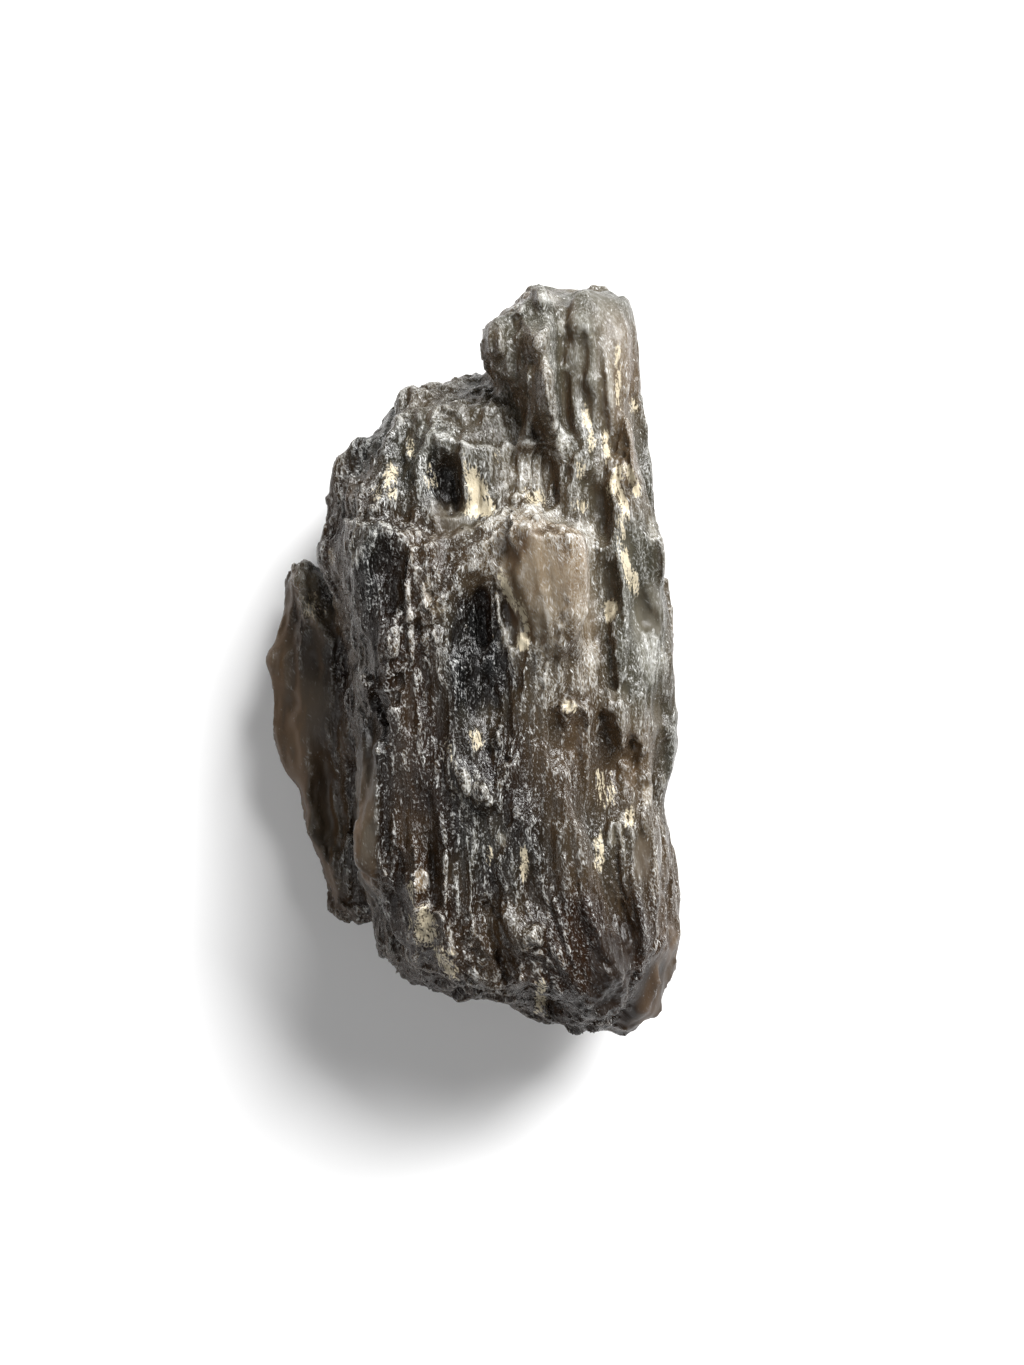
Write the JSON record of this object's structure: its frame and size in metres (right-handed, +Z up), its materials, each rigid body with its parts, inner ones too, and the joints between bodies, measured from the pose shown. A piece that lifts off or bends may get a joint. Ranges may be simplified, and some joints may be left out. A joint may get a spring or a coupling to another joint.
{
  "type": "agni manite stone",
  "caption": "Rough natural piece of dark smoky glass, etched into long flutes, with a stepped front face, a pointed upper end and a smooth side lobe, lying on its flat back.",
  "frame": {"origin": "on the resting plane, under the middle of the bounding box", "axes": "+Y along the stone to its pointed upper end, +Z up, out of its front face, +X to the right of the front face"},
  "size_m": [0.0172, 0.031, 0.012],
  "materials": {
    "dark_glass": "dark smoky natural glass, etched and frosted on its ribs, glossy in its hollows, with pale dried silt in its grooves"
  },
  "bodies": {
    "root": {"stone": "dark_glass"}
  },
  "joints": []
}
